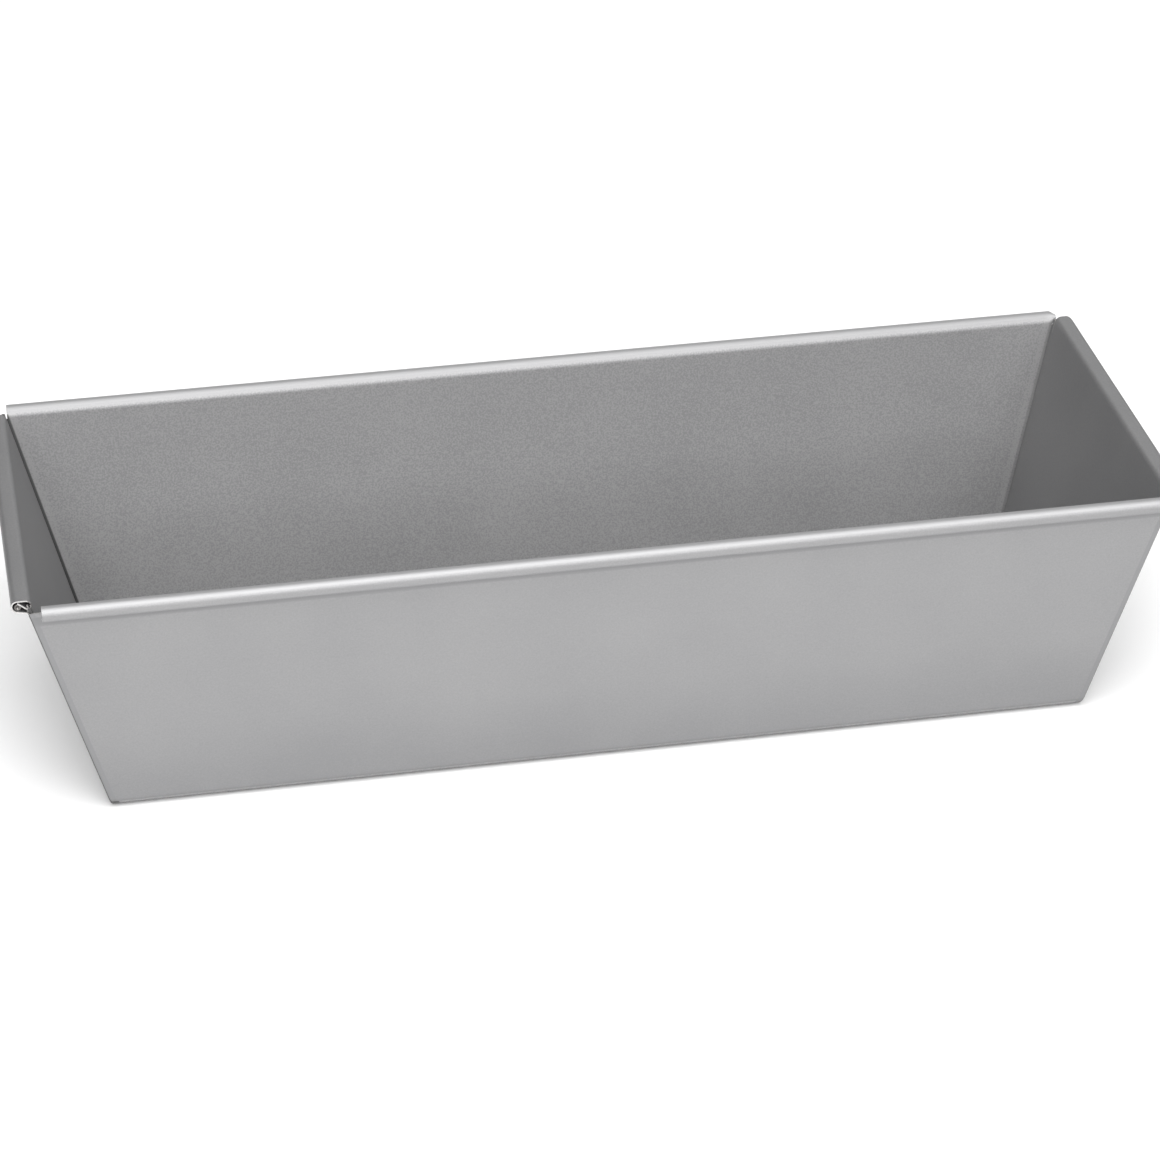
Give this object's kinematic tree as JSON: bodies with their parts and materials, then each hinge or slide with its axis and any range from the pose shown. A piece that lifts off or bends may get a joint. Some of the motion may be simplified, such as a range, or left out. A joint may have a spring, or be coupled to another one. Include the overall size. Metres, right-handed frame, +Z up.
{
  "type": "loaf pan",
  "caption": "Open flared loaf tin of bent sheet steel with locked folded seams at its ends and wired rolled rims all round.",
  "frame": {"origin": "middle of the floor's underside", "axes": "+X along the length, +Y from the front long wall to the back long wall, +Z up out of the mouth"},
  "size_m": [0.3, 0.1142, 0.0683],
  "materials": {
    "coated_sheet": "satin silver grey bake coating with a fine speckle",
    "steel_wire": "bare drawn wire"
  },
  "bodies": {
    "root": {"trough": "coated_sheet", "left_end_panel": "coated_sheet", "right_end_panel": "coated_sheet", "front_rim_wire": "steel_wire", "back_rim_wire": "steel_wire", "left_rim_wire": "steel_wire", "right_rim_wire": "steel_wire"}
  },
  "joints": []
}
